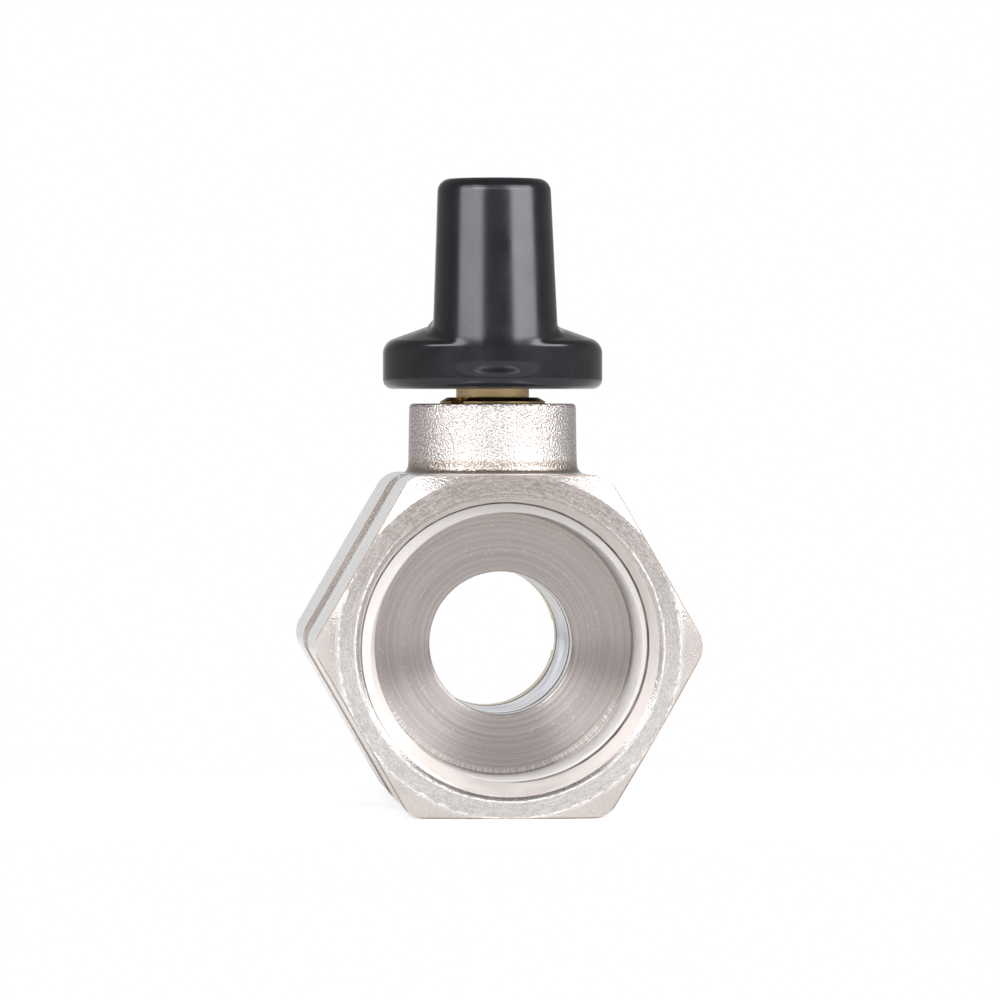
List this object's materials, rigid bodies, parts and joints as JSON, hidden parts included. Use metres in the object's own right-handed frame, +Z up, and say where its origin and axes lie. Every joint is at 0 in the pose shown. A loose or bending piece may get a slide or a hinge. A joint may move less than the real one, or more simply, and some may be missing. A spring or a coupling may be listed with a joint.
{
  "type": "mini ball valve",
  "caption": "Mini ball valve with two female threaded ports, hexagonal nickel-plated body and a black one-sided lever that turns the ball a quarter turn.",
  "frame": {"origin": "on the bottom flat of the hexagons, under the crossing of the flow axis and the stem axis", "axes": "+Y along the flow axis from the front port to the rear port, +Z up along the stem, +X to the right seen from the front port"},
  "size_m": [0.0272, 0.044, 0.0453],
  "materials": {
    "nickel_plate": "nickel plated brass, shot blasted where forged and turned in the ports",
    "brass": "turned brass",
    "chrome_plate": "chrome plated and polished",
    "ptfe": "white PTFE",
    "nitrile": "black nitrile rubber",
    "black_plastic": "glossy black",
    "screw_steel": "zinc plated steel"
  },
  "bodies": {
    "valve_body": {"body": "nickel_plate", "retainer": "brass", "seat_front": "ptfe", "seat_rear": "ptfe", "thrust_washer": "ptfe", "packing_lower": "ptfe", "stem_o_ring": "nitrile", "packing_upper": "ptfe", "gland_nut": "brass"},
    "lever": {"handle": "black_plastic", "stem": "brass", "handle_washer": "screw_steel", "handle_screw": "screw_steel"},
    "ball": {"ball": "chrome_plate"}
  },
  "joints": [
    {"name": "handle_turn", "type": "hinge", "parent": "valve_body", "child": "lever", "pos_m": [0, 0, 0.03], "axis": [0, 0, 1], "range_deg": [-90, 0]},
    {"name": "ball_turn", "type": "hinge", "parent": "valve_body", "child": "ball", "pos_m": [0, 0, 0.012], "axis": [0, 0, 1], "range_deg": [-90, 0]}
  ],
  "couplings": [
    {"joint": "ball_turn", "follows": "handle_turn", "ratio": 1}
  ]
}
